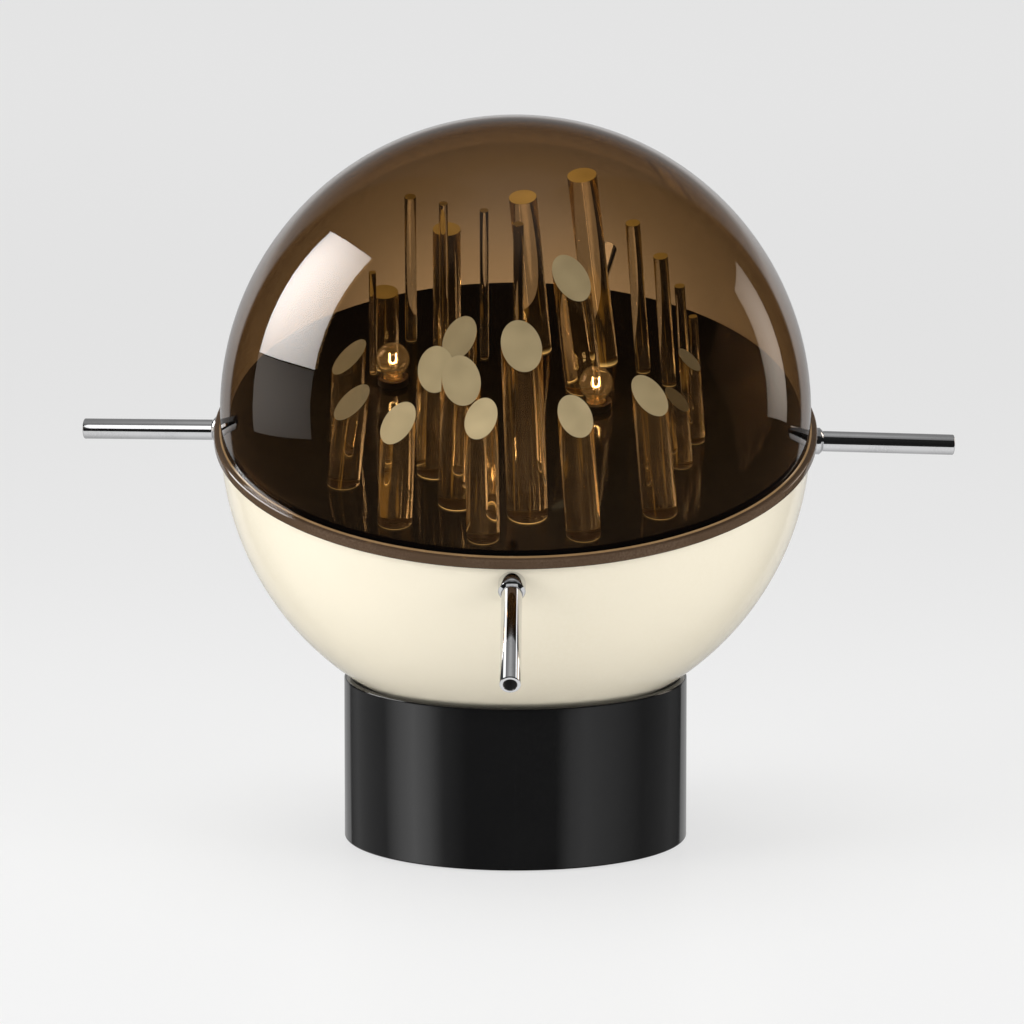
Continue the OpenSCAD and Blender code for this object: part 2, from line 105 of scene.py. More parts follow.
def eased(tree, value, low, high):
    """0 below low, 1 above high, and smooth between them. It falls instead where low is over high."""
    ends = {"Value": value, "From Min": min(low, high), "From Max": max(low, high)}
    ends |= {"To Min": float(low > high), "To Max": float(low < high)}
    return node(tree, "ShaderNodeMapRange", ends, interpolation_type="SMOOTHSTEP").outputs[0]


def grey(level):
    """An opaque grey."""
    return (level, level, level, 1)


def place_in(tree, kind="Object"):
    """The X, Y and Z of the shaded place, or of the direction in a world."""
    return node(tree, "ShaderNodeSeparateXYZ", {0: node(tree, "ShaderNodeTexCoord").outputs[kind]}).outputs


def ramp(tree, value, low, high, stops):
    """A level that changes along a value's way from low to high, given at some of its stops."""
    share = node(tree, "ShaderNodeMapRange", {"Value": value, "From Min": low, "From Max": high}).outputs[0]
    made = node(tree, "ShaderNodeValToRGB", {0: share})
    elements = made.color_ramp.elements
    places = sorted(stops)
    for place in places:
        first_or_last = {places[0]: 0, places[-1]: 1}.get(place)
        at = (place - low) / (high - low)
        element = elements.new(at) if first_or_last is None else elements[-first_or_last]
        element.position = at
        element.color = grey(stops[place])
    return made.outputs[0]


# The backdrop's levels by the rise of a ray, for glass and for mirrors, and the darker ones of the front
backdrop_level = 0.82
ambient_level = 0.57
backdrop_half_width = (0.57, 0.66)
least_depth = 0.001
backdrop_by_rise = {
    -1: 0.05, -0.5: 0.2, -0.3: 0.45, -0.1: 0.52, 0: 0.68, 0.07: 0.72,
    0.16: 0.36, 0.29: 0.20, 0.44: 0.06, 0.85: 0.06, 0.96: 0.2, 1: 0.24,
}
front_by_rise = {-1: 0.05, 0: 0.01, 0.83: 0.018, 0.94: 0.10, 0.97: 0.2, 1: 0.24}
world = bpy.data.worlds.new("studio")
world.use_nodes = True
bpy.context.scene.world = world
tree = world.node_tree
tree.nodes.clear()
path = node(tree, "ShaderNodeLightPath").outputs
toward = place_in(tree, "Generated")
depth = sum_of(tree, "MAXIMUM", toward[1], least_depth)
across = sum_of(tree, "DIVIDE", sum_of(tree, "ABSOLUTE", toward[0]), depth)
behind = eased(tree, across, backdrop_half_width[1], backdrop_half_width[0])
backdrop = ramp(tree, toward[2], -1, 1, backdrop_by_rise)
mirrored = between(tree, behind, ramp(tree, toward[2], -1, 1, front_by_rise), backdrop)
level = between(tree, path["Is Glossy Ray"], ambient_level, mirrored)
level = between(tree, path["Is Transmission Ray"], level, backdrop)
level = between(tree, path["Is Camera Ray"], level, backdrop_level)
sky = node(tree, "ShaderNodeBackground", {"Strength": level, "Color": grey(1)})
node(tree, "ShaderNodeOutputWorld", {"Surface": sky.outputs[0]})


def stage_mesh(name, bm):
    """A sheet of the studio, which isn't part of the lamp."""
    mesh = bpy.data.meshes.new(name)
    bm.to_mesh(mesh)
    bm.free()
    sheet = bpy.data.objects.new(name, mesh)
    bpy.context.scene.collection.objects.link(sheet)
    return sheet


# The floor's own light for the camera and for glass, with its soft shadow. Each place along Y or aside goes
# from where a change starts to where it ends. Glass also shows a pool of light behind the lamp.
floor_half = 12
floor_drop = 0.0002
floor_white = 0.88
floor_roughness = 0.35
floor_glow = 0.81
floor_glow_far = 0.08
floor_glow_near = 0.08
floor_pool = 0.95
floor_dim = 0.12
floor_glow_share = 0.72
far_along = (1.5, 4.0)
near_along = (1.2, -0.2)
ahead_along = (-0.6, -1.1)
beyond_aside = (1.0, 1.7)
pool_aside = (0.26, 0.05)
pool_along = (3.5, 2.1)
bm = bmesh.new()
bmesh.ops.create_grid(
    bm, x_segments=1, y_segments=1, size=floor_half, matrix=Matrix.Translation((0, 0, -floor_drop))
)
floor = stage_mesh("floor", bm)
floor.visible_glossy = False
floor_finish = bpy.data.materials.new("floor_paper")
floor_finish.use_nodes = True
tree = floor_finish.node_tree
tree.nodes.clear()
path = node(tree, "ShaderNodeLightPath").outputs
spot = place_in(tree)
paper_values = {"Base Color": grey(floor_white), "Roughness": floor_roughness}
paper = node(tree, "ShaderNodeBsdfPrincipled", paper_values)
glow_level = sum_of(tree, "MULTIPLY_ADD", eased(tree, spot[1], *far_along), floor_glow_far, floor_glow)
glow_level = sum_of(tree, "MULTIPLY_ADD", eased(tree, spot[1], *near_along), floor_glow_near, glow_level)
aside = sum_of(tree, "ABSOLUTE", spot[0])
ahead = eased(tree, spot[1], *ahead_along)
glow_level = sum_of(tree, "MULTIPLY_ADD", ahead, -floor_glow_near, glow_level)
beyond = sum_of(tree, "MAXIMUM", ahead, eased(tree, aside, *beyond_aside))
pool = eased(tree, aside, *pool_aside)
pool = sum_of(tree, "MULTIPLY", pool, eased(tree, spot[1], *pool_along))
pool = sum_of(tree, "MULTIPLY_ADD", pool, floor_pool, -floor_dim)
glow_level = sum_of(tree, "MULTIPLY_ADD", pool, path["Is Transmission Ray"], glow_level)
glow = node(tree, "ShaderNodeEmission", {"Strength": glow_level})
share = sum_of(tree, "MULTIPLY_ADD", beyond, 1 - floor_glow_share, floor_glow_share)
seen = node(tree, "ShaderNodeMixShader", {0: share, 1: paper.outputs[0], 2: glow.outputs[0]})
through = sum_of(tree, "MAXIMUM", path["Is Camera Ray"], path["Is Transmission Ray"])
surface = node(tree, "ShaderNodeMixShader", {0: through, 1: paper.outputs[0], 2: seen.outputs[0]})
node(tree, "ShaderNodeOutputMaterial", {"Surface": surface.outputs[0]})
floor.data.materials.append(floor_finish)


def light_card(name, bm, level_of, tint=(1, 1, 1), only_in=()):
    """A card of light that mirrors see, or some pieces only. level_of makes its strength in its tree."""
    card = stage_mesh(name, bm)
    card.visible_camera = False
    card.visible_diffuse = False
    card.visible_transmission = False
    card.visible_shadow = False
    finish = bpy.data.materials.new(name)
    finish.use_nodes = True
    tree = finish.node_tree
    tree.nodes.clear()
    glow = node(tree, "ShaderNodeEmission", {"Color": (*tint, 1), "Strength": level_of(tree)})
    if only_in:
        card.light_linking.receiver_collection = bpy.data.collections.new(name)
        for mirror in only_in:
            card.light_linking.receiver_collection.objects.link(mirror)
        clear = node(tree, "ShaderNodeBsdfTransparent")
        glow = node(tree, "ShaderNodeAddShader", {0: glow.outputs[0], 1: clear.outputs[0]})
    node(tree, "ShaderNodeOutputMaterial", {"Surface": glow.outputs[0]})
    card.data.materials.append(finish)
    return card


def side_card(name, beside, corners, edge, middle, tint=(1, 1, 1)):
    """An upright card beside the lamp, from its corners' places along Y and Z, brighter in its middle."""
    bm = bmesh.new()
    bm.faces.new([bm.verts.new((beside, *corner)) for corner in corners])

    def level_of(tree):
        spot = place_in(tree, "Generated")
        humps = [sum_of(tree, "MULTIPLY", axis, sum_of(tree, "SUBTRACT", 1, axis)) for axis in spot[1:]]
        hump_peak = 1 / 16
        hump = sum_of(tree, "DIVIDE", sum_of(tree, "MULTIPLY", *humps), hump_peak)
        return between(tree, hump, edge, middle)

    return light_card(name, bm, level_of, tint)


card_aside = 1.2
key_corners = ((0.92, 1.31), (0.04, 1.57), (-0.17, 0.57), (0.64, 0.46))
skirt_corners = ((0.65, 0.455), (-0.17, 0.56), (-0.23, 0.16), (0.56, 0.10))
strip_corners = ((0.97, 0.95), (0.80, 0.10), (0.37, 0.20), (0.51, 0.87))
key = side_card("key_card", -card_aside, key_corners, 5.5, 11.5)
key.visible_transmission = True
key_mirrors = bpy.data.collections.new("key_mirrors")
key.light_linking.receiver_collection = key_mirrors
side_card("key_skirt", -card_aside, skirt_corners, 0.6, 0.9, (1, 0.93, 0.86))
side_card("side_strip", card_aside, strip_corners, 1.0, 2.4, (1, 0.87, 0.74))


def lamp(name, place, aim, size, watts):
    """A large soft lamp that lights the object but isn't mirrored in it."""
    data = bpy.data.lights.new(name, "AREA")
    data.size = size
    data.energy = watts
    made = bpy.data.objects.new(name, data)
    made.location = place
    made.rotation_euler = (Vector(aim) - Vector(place)).to_track_quat("-Z", "Y").to_euler()
    made.visible_camera = False
    made.visible_glossy = False
    made.visible_transmission = False
    bpy.context.scene.collection.objects.link(made)


lamp_aim = (0, 0, 0.25)
lamp("left_lamp", (-2.7, -1.2, 1.1), lamp_aim, 1.6, 60)
lamp("right_lamp", (2.7, -1.5, 1.0), lamp_aim, 1.6, 46)
lamp("top_lamp", (-0.2, 0.2, 2.7), lamp_aim, 1.8, 30)

# Base tube
# Turned metal tube in black gloss lacquer with a small lead hole at the back. A ledge near its top
# carries the seat ring, and a ledge at its foot takes the plate's screws.
base_r = 0.1165
base_wall = 0.005
base_bottom = 0.001
base_top = 0.112
base_round = 0.0012
seat_ledge_top = 0.0947
seat_ledge_w = 0.007
seat_ledge_t = 0.005
foot_ledge_bottom = 0.009
foot_ledge_t = 0.005
foot_ledge_w = 0.012
lead_hole_r = 0.005
lead_hole_z = 0.024
weld = 1e-6


def arc(centre, radius, start, end, steps):
    """Points along an arc in the outline's plane, from one angle in degrees to another, both included."""
    angles = [math.radians(start + (end - start) * i / steps) for i in range(steps + 1)]
    return [(centre[0] + radius * math.cos(a), centre[1] + radius * math.sin(a)) for a in angles]


def turned(outline, steps=128, closed=True):
    """A bmesh turned about Z from an outline of radius and height points."""
    bm = bmesh.new()
    verts = [bm.verts.new((r, 0, z)) for r, z in outline]
    pairs = list(zip(verts, verts[1:])) + ([(verts[-1], verts[0])] if closed else [])
    edges = [bm.edges.new(pair) for pair in pairs]
    bmesh.ops.spin(
        bm, geom=verts + edges, axis=(0, 0, 1), cent=(0, 0, 0), angle=math.tau, steps=steps, use_merge=True
    )
    bmesh.ops.remove_doubles(bm, verts=bm.verts, dist=weld)
    bmesh.ops.recalc_face_normals(bm, faces=bm.faces)
    return bm


def piece(name, bm, finishes, body, nodes, sharp=35):
    """A finished piece of the lamp: it rides on a body and stands for its nodes."""
    mesh = bpy.data.meshes.new(name)
    bm.to_mesh(mesh)
    bm.free()
    for finish in finishes:
        mesh.materials.append(finish)
    mesh.shade_smooth()
    mesh.set_sharp_from_angle(angle=math.radians(sharp))
    made = bpy.data.objects.new(name, mesh)
    bpy.context.scene.collection.objects.link(made)
    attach(made, body)
    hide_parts(*nodes)
    return made


def drilled(bm, bits):
    """The bmesh with each bit's shape cut out of it. Both are used up."""
    meshes = [bpy.data.meshes.new("blank"), *(bpy.data.meshes.new("bit") for _ in bits)]
    for mesh, form in zip(meshes, [bm, *bits]):
        form.to_mesh(mesh)
        form.free()
    objects = [bpy.data.objects.new(mesh.name, mesh) for mesh in meshes]
    for made in objects:
        bpy.context.scene.collection.objects.link(made)
    for bit in objects[1:]:
        cut = objects[0].modifiers.new("cut", "BOOLEAN")
        cut.object = bit
        cut.operation = "DIFFERENCE"
        cut.solver = "EXACT"
    result = bmesh.new()
    result.from_object(objects[0], bpy.context.evaluated_depsgraph_get())
    for made, mesh in zip(objects, meshes):
        bpy.data.objects.remove(made)
        bpy.data.meshes.remove(mesh)
    return result


def rod_bit(radius, length, place, segments=48):
    """A straight round bit whose middle lies at the origin of a place matrix, along its Z."""
    bm = bmesh.new()
    bmesh.ops.create_cone(
        bm, cap_ends=True, segments=segments, radius1=radius, radius2=radius, depth=length, matrix=place
    )
    return bm


# Surface marks that most finishes share: uneven tone, smudged gloss and a fine height
cloud_span = (0.35, 0.65)
grain_span = (0.3, 0.7)
marks = bpy.data.node_groups.new("surface_marks", "ShaderNodeTree")
for socket_name, kind in (
    ("Tone", "NodeSocketColor"),
    ("Worn Tone", "NodeSocketColor"),
    ("Gloss Roughness", "NodeSocketFloat"),
    ("Smudge Roughness", "NodeSocketFloat"),
    ("Cloud Scale", "NodeSocketFloat"),
    ("Grain Scale", "NodeSocketFloat"),
):
    marks.interface.new_socket(socket_name, in_out="INPUT", socket_type=kind)
for socket_name, kind in (
    ("Tone", "NodeSocketColor"),
    ("Roughness", "NodeSocketFloat"),
    ("Height", "NodeSocketFloat"),
):
    marks.interface.new_socket(socket_name, in_out="OUTPUT", socket_type=kind)
given = node(marks, "NodeGroupInput").outputs
spot = node(marks, "ShaderNodeTexCoord").outputs["Object"]
cloud = node(marks, "ShaderNodeTexNoise", {"Vector": spot, "Scale": given["Cloud Scale"], "Detail": 4})
grain = node(marks, "ShaderNodeTexNoise", {"Vector": spot, "Scale": given["Grain Scale"], "Detail": 6})
cloud_share = eased(marks, cloud.outputs[0], *cloud_span)
smudge_share = sum_of(marks, "MULTIPLY", cloud_share, eased(marks, grain.outputs[0], *grain_span))
tone = node(
    marks, "ShaderNodeMix", {0: smudge_share, 6: given["Tone"], 7: given["Worn Tone"]}, data_type="RGBA"
).outputs[2]
gloss = node(
    marks, "ShaderNodeMix", {0: cloud_share, 2: given["Gloss Roughness"], 3: given["Smudge Roughness"]}
).outputs[0]
node(marks, "NodeGroupOutput", {"Tone": tone, "Roughness": gloss, "Height": grain.outputs[0]})


def marked_finish(name, tone, worn, gloss, cloud=9, grain=220, bump=0.0, **shader):
    """A finish with uneven tone and gloss. Heights are in metres, and shader sockets come by name."""
    finish = bpy.data.materials.new(name)
    finish.use_nodes = True
    tree = finish.node_tree
    surface = tree.nodes["Principled BSDF"]
    group = node(tree, "ShaderNodeGroup", node_tree=marks)
    values = {"Tone": (*tone, 1), "Worn Tone": (*worn, 1), "Gloss Roughness": gloss[0]}
    values |= {"Smudge Roughness": gloss[1], "Cloud Scale": cloud, "Grain Scale": grain}
    for key, value in values.items():
        group.inputs[key].default_value = value
    tree.links.new(group.outputs["Tone"], surface.inputs["Base Color"])
    tree.links.new(group.outputs["Roughness"], surface.inputs["Roughness"])
    if bump:
        relief = node(tree, "ShaderNodeBump", {"Height": group.outputs["Height"], "Distance": bump})
        tree.links.new(relief.outputs[0], surface.inputs["Normal"])
    for key, value in shader.items():
        surface.inputs[key.replace("_", " ")].default_value = value
    return finish


black_lacquer = marked_finish(
    "black_lacquer", (0.0022, 0.0022, 0.0024), (0.0040, 0.0039, 0.0040), (0.06, 0.11),
    cloud=14, grain=500, bump=2e-6,
)
base_in_r = base_r - base_wall
tube_outline = [
    *arc((base_in_r + base_round, base_bottom + base_round), base_round, 180, 270, 4),
    *arc((base_r - base_round, base_bottom + base_round), base_round, -90, 0, 6),
    *arc((base_r - base_round, base_top - base_round), base_round, 0, 90, 6),
    *arc((base_in_r + base_round, base_top - base_round), base_round, 90, 180, 6),
    (base_in_r, seat_ledge_top),
    (base_in_r - seat_ledge_w, seat_ledge_top),
    (base_in_r - seat_ledge_w, seat_ledge_top - seat_ledge_t),
    (base_in_r, seat_ledge_top - seat_ledge_t - seat_ledge_w),
    (base_in_r, foot_ledge_bottom + foot_ledge_t),
    (base_in_r - foot_ledge_w, foot_ledge_bottom + foot_ledge_t),
    (base_in_r - foot_ledge_w, foot_ledge_bottom),
    (base_in_r, foot_ledge_bottom),
]
lead_hole_place = Matrix.Translation((0, base_r, lead_hole_z)) @ Matrix.Rotation(math.pi / 2, 4, "X")
tube = drilled(turned(tube_outline, 192), [rod_bit(lead_hole_r, 6 * base_wall, lead_hole_place)])
tube = piece("lacquer_tube", tube, [black_lacquer], "base", ["base_tube"])

# Upright bands of light round the base, by bearing from the camera's side, which only its lacquer mirrors
band_stops = {
    -180: 0, -150: 0, -131: 0.3, -97: 0.28, -83: 1.08, -71: 1.6, -60: 1.16, -49: 0.35, -32: 0.13,
    27: 0.13, 37: 0.6, 47: 0.75, 69: 0.5, 93: 0.17, 126: 0.2, 150: 0, 180: 0,
}
band_peak = 2
band_r = 3
band_height = 1.8
band_middle = -0.99


def band_level(tree):
    """The level of the wall round the base by its bearing."""
    spot = place_in(tree)
    bearing = sum_of(tree, "ARCTAN2", spot[0], sum_of(tree, "MULTIPLY", spot[1], -1))
    bearing = sum_of(tree, "DEGREES", bearing)
    shares = {angle: brightness / band_peak for angle, brightness in band_stops.items()}
    return sum_of(tree, "MULTIPLY", ramp(tree, bearing, -180, 180, shares), band_peak)


wall = bmesh.new()
bmesh.ops.create_cone(
    wall, cap_ends=False, segments=96, radius1=band_r, radius2=band_r, depth=band_height,
    matrix=Matrix.Translation((0, 0, band_middle)),
)
light_card("base_bands", wall, band_level, only_in=[tube])

# Base plate, screws and felt
# A steel plate closes and weighs down the base. Four screws hold it, under a felt pad for the table.


def dress(finish, *names):
    """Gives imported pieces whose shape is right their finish."""
    for name in names:
        for slot in frame["nodes"][name].material_slots:
            slot.material = finish


steel = marked_finish(
    "bright_steel", (0.42, 0.43, 0.45), (0.33, 0.33, 0.34), (0.28, 0.42),
    cloud=30, grain=700, bump=8e-6, Metallic=1,
)
felt = marked_finish(
    "felt", (0.012, 0.013, 0.014), (0.026, 0.027, 0.028), (0.9, 1.0),
    cloud=60, grain=1400, bump=4e-4, Sheen_Weight=0.6,
)
dress(steel, "base_plate", "base_screws", "rim_ring", "deck_screws", "arm_washers", "arm_nuts")
dress(felt, "felt_pad")

# Seat ring and gland
# A moulded black nylon ring carries the ball, and a nylon gland at the ball's foot leads the wire in.
nylon = marked_finish(
    "black_nylon", (0.010, 0.010, 0.011), (0.018, 0.018, 0.019), (0.42, 0.58), cloud=24, grain=900, bump=2e-5
)
dress(nylon, "seat_ring", "cord_gland", "gland_nut")

# Cream shell
# Lower half of the ball, moulded in cream acrylic with a deep gloss, with holes for the four arms, the
# switch and the gland. Its rim carries the dome.
joints = {joint["name"]: joint for joint in frame["joints"]}
ball_centre = Vector(joints["spin"]["pos_m"])
pole = Vector(joints["spin"]["axis"])
ball_lean = math.atan2(-pole.y, pole.z)
in_ball = Matrix.Translation(ball_centre) @ Matrix.Rotation(ball_lean, 4, "X")
globe_r = 0.2
shell_wall = 0.003
shell_top = -0.0038
shell_round = 0.0006
gland_hole_r = 0.0083
arm_hole_r = 0.0071
switch_hole_r = 0.0061
arm_bit_length = 0.05
switch_bit_length = 0.02
arm_below_rim = 0.016
arm_latitude = math.asin(arm_below_rim / globe_r)
front_droop = math.radians(10)
back_rise = front_droop + 2 * arm_latitude
arm_bearings = {"right": 6, "back": 77, "left": 169, "front": 269.3}
arm_droops = {"back": -back_rise, "front": front_droop}
switch_bearing = 52
switch_latitude = math.radians(24)


def on_ball(bearing, latitude, droop=0.0):
    """A place on the ball's face, Z outwards, at a bearing in degrees and a latitude below the rim."""
    swing = Matrix.Rotation(math.radians(bearing), 4, "Z") @ Matrix.Rotation(math.pi / 2 + latitude, 4, "Y")
    return in_ball @ swing @ Matrix.Translation((0, 0, globe_r)) @ Matrix.Rotation(droop, 4, "Y")


def sphere_angle(radius, height):
    """The latitude in degrees of a height on a sphere's outline."""
    return math.degrees(math.asin(height / radius))


arm_places = {
    side: on_ball(bearing, arm_latitude, arm_droops.get(side, 0))
    for side, bearing in arm_bearings.items()
}
switch_place = on_ball(switch_bearing, switch_latitude)
shell_in_r = globe_r - shell_wall
round_top = shell_top - shell_round
out_edge = sphere_angle(globe_r, round_top)
in_edge = sphere_angle(shell_in_r, round_top)
foot_angle = -math.degrees(math.acos(gland_hole_r / globe_r))
foot_in_angle = -math.degrees(math.acos(gland_hole_r / shell_in_r))
rim_out = globe_r * math.cos(math.radians(out_edge)) - shell_round
rim_in = shell_in_r * math.cos(math.radians(in_edge)) + shell_round
shell_outline = [
    *arc((0, 0), globe_r, foot_angle, out_edge, 56),
    *arc((rim_out, round_top), shell_round, 15, 90, 4),
    *arc((rim_in, round_top), shell_round, 90, 165, 4),
    *arc((0, 0), shell_in_r, in_edge, foot_in_angle, 40),
]
shell = turned(shell_outline, 192)
shell.transform(in_ball)
bits = [rod_bit(arm_hole_r, arm_bit_length, place) for place in arm_places.values()]
bits.append(rod_bit(switch_hole_r, switch_bit_length, switch_place))
cream = marked_finish(
    "cream_acrylic", (0.870, 0.800, 0.645), (0.855, 0.782, 0.620), (0.10, 0.16),
    cloud=5, grain=380, bump=1.5e-6, Coat_Weight=0.35, Coat_Roughness=0.05,
)
piece("cream_shell", drilled(shell, bits), [cream], "ball", ["lower_shell"], sharp=40)

# Deck and its rings
# A disc of black gloss acrylic on a wedge ring, which screws to a steel ring in the shell's mouth.
deck_height = 0.0155
deck_normal = Vector(joints["left_bulb_out"]["axis"])
deck_lean = math.atan2(-deck_normal.y, deck_normal.z)
in_deck = Matrix.Translation(in_ball @ Vector((0, 0, deck_height))) @ Matrix.Rotation(deck_lean, 4, "X")
deck_gloss = marked_finish(
    "black_acrylic", (0.0030, 0.0026, 0.0022), (0.0060, 0.0048, 0.0038), (0.03, 0.09),
    cloud=18, grain=600, bump=1e-6,
)
dress(deck_gloss, "deck", "deck_ring")

# Arms
# Four chromed brass tubes go through the shell, each with a domed collar outside and a washer and nut
# inside. The front one droops a little more than the others, and the back one rises in line with it.
arm_r = 0.007
arm_bore_r = 0.00475
arm_inside = 0.015
arm_outside = 0.101
arm_round = 0.0009
collar_r = 0.0092
collar_height = 0.013
collar_dome_r = 0.0112
collar_lip = 0.0002
collar_foot = -0.006
snap = 1e-5
chrome = marked_finish(
    "chrome", (0.80, 0.80, 0.81), (0.70, 0.70, 0.71), (0.025, 0.07),
    cloud=40, grain=900, bump=1e-6, Metallic=1,
)
# The bore inside each tube is painted near-black, as the shade in it.
bore_painted_shade = marked_finish(
    "tube_inside", (0.010, 0.010, 0.010), (0.020, 0.018, 0.016), (0.5, 0.7), cloud=60, grain=800
)
arm_outline = [
    *arc((arm_bore_r + arm_round / 2, -arm_inside + arm_round / 2), arm_round / 2, 180, 270, 3),
    *arc((arm_r - arm_round, -arm_inside + arm_round), arm_round, -90, 0, 5),
    *arc((arm_r - arm_round, arm_outside - arm_round), arm_round, 0, 90, 5),
    *arc((arm_bore_r + arm_round / 2, arm_outside - arm_round / 2), arm_round / 2, 90, 180, 3),
]
arm_pieces = {}
for side, place in arm_places.items():
    tube = turned(arm_outline, 64)
    for face in tube.faces:
        middle = face.calc_center_median()
        face.material_index = int(math.hypot(middle.x, middle.y) < arm_bore_r + snap)
    tube.transform(place)
    finishes = [chrome, bore_painted_shade]
    arm_pieces[side] = piece(f"chrome_arm_{side}", tube, finishes, "ball", [f"arm_{side}"])

collar_in_r = arm_hole_r
dome_low = collar_height - collar_dome_r
collar_edge = math.degrees(math.acos(collar_r / collar_dome_r))
collar_top = math.degrees(math.acos((collar_in_r + collar_lip) / collar_dome_r))
collar_outline = [
    (collar_in_r, collar_foot),
    (collar_r, collar_foot),
    *arc((0, dome_low), collar_dome_r, collar_edge, collar_top, 10),
    (collar_in_r, dome_low + collar_dome_r * math.sin(math.radians(collar_top)) - collar_lip),
]


def put_into(whole, part):
    """Adds one bmesh to another, and uses it up."""
    mesh = bpy.data.meshes.new("part")
    part.to_mesh(mesh)
    part.free()
    whole.from_mesh(mesh)
    bpy.data.meshes.remove(mesh)


collars = bmesh.new()
for place in arm_places.values():
    ring = turned(collar_outline, 64)
    ring.transform(place)
    put_into(collars, ring)
ball = bmesh.new()
bmesh.ops.create_uvsphere(ball, u_segments=192, v_segments=96, radius=globe_r, matrix=in_ball)
collars = drilled(collars, [ball])
collars = piece("chrome_collars", collars, [chrome], "ball", ["arm_collars"], sharp=50)

# Light that only the arms and their collars mirror: a pale floor that dims to the back, a grey ceiling, a
# card before the collars, and white strips beside three of the arms. A strip lies along its arm, some way
# off in a direction, with a length, width and strength.
arm_middle = 0.055
arm_floor_along = (0.30, -0.20)
arm_floor_levels = (0.33, 0.73)
arm_ceiling_level = 0.18
collar_front_level = 0.55
arm_strips = (
    ("left", (-0.416, -0.745, 0.521), 0.25, 0.17, 0.177, 1.4),
    ("front", (-0.470, 0.440, 0.765), 0.02, 0.11, 0.0048, 1.3),
    ("front", (0.497, 0.427, 0.755), 0.02, 0.11, 0.0022, 1.2),
    ("back", (0.320, 0.280, 0.900), 0.20, 0.50, 0.80, 2.6),
)


def arm_card(name, centre, along, across, level_of, mirrors):
    """A flat card of light about its centre, from half of its length and half of its width as vectors."""
    bm = bmesh.new()
    turns = ((-1, -1), (1, -1), (1, 1), (-1, 1))
    bm.faces.new([bm.verts.new(centre + along * u + across * v) for u, v in turns])
    light_card(name, bm, level_of, only_in=mirrors)


def arm_floor_level(tree):
    """The pale floor's level by its place along Y."""
    return between(tree, eased(tree, place_in(tree)[1], *arm_floor_along), *arm_floor_levels)


chromed = [*arm_pieces.values(), collars]
arm_cards = (
    ("arm_floor", (0, 1.3, -0.01), (3, 0, 0), (0, 1.95, 0), arm_floor_level, chromed),
    ("arm_ceiling", (0, 0.76, 0.9), (2, 0, 0), (0, 1.09, 0), lambda tree: arm_ceiling_level, chromed),
    ("collar_front", (0, -2, 0.3), (1.6, 0, 0), (0, 0, 0.7), lambda tree: collar_front_level, [collars]),
)
for name, centre, along, across, level_of, mirrors in arm_cards:
    arm_card(name, Vector(centre), Vector(along), Vector(across), level_of, mirrors)
for number, (side, way, distance, length, width, strength) in enumerate(arm_strips):
    axis = arm_places[side].to_3x3() @ Vector((0, 0, 1))
    centre = arm_places[side] @ Vector((0, 0, arm_middle)) + distance * Vector(way)
    along = axis * length / 2
    across = axis.cross(Vector(way)).normalized() * width / 2
    arm_card(f"arm_strip_{number}", centre, along, across, lambda tree: strength, [arm_pieces[side]])

# No mirror shows the front arm, so that the pieces about it stay clear of its image
arm_pieces["front"].visible_glossy = False

# Rods
# Clear cast acrylic rods, glued upright on the deck. Some are sawn aslant and their faces sanded, and the
# others are sawn square.
# The sanded faces carry a painted ivory glow and the square ones a painted amber glow. Each foot has a
# painted amber ring of glow, brighter to the front, with painted golden streaks running up from it, and a
# faint painted golden glow fills the rods' depth. Each rod's painted glow is given at its face and at its
# foot.
rod_names = sorted(name for name in frame["nodes"] if "_rod_" in name)
rod_segments = 72
rod_edge = 0.0004
foot_edge = 0.0006
foot_lift = 0.0001
round_corners = 8
face_slot = 1
ring_slot = 2
foot_slot = 3
ripple_scale = 11
painted_glow_cloud_scale = 60
painted_glow_spread = 0.5
painted_glow_least = 0.75
# The painted glow at a foot is strongest at its front and fades towards its back.
foot_painted_glow_middle = 0.3
foot_painted_glow_to_front = 0.7
painted_streak_scale = 420
painted_streak_level = (0.61, 0.71)
painted_streak_strength = 0.24
painted_streak_gold = (1.0, 0.56, 0.10, 1)
painted_streak_drift = 0.03
painted_streak_reach = 0.11
painted_streak_fade = 0.8
# Strengths of the painted glow at each rod's top face and foot, one value per rod. They also paint light and
# shade: faces turned to the front are brighter, and those turned aside are dimmer.
cut_face_painted_glow = (0.12, 0.22, 0.85, 0.65, 0.45, 0.68, 1.0, 0.60, 0.78, 0.58, 0.50, 0.03, 0.10)
flat_face_painted_glow = (1.0, 1.0, 0.2, 0.5, 0.5, 0.4, 0.3, 0.2, 0.2, 0.6, 0.2, 0.2, 0.4)
cut_foot_painted_glow = (0.3, 0.3, 0.35, 0.9, 0.6, 1.0, 0.35, 1.0, 0.3, 0.35, 0.5, 0.2, 0.2)
flat_foot_painted_glow = (1.0, 1.0, 0.3, 0.3, 0.3, 0.2, 0.2, 0.2, 0.2, 0.4, 0.2, 0.2, 0.8)


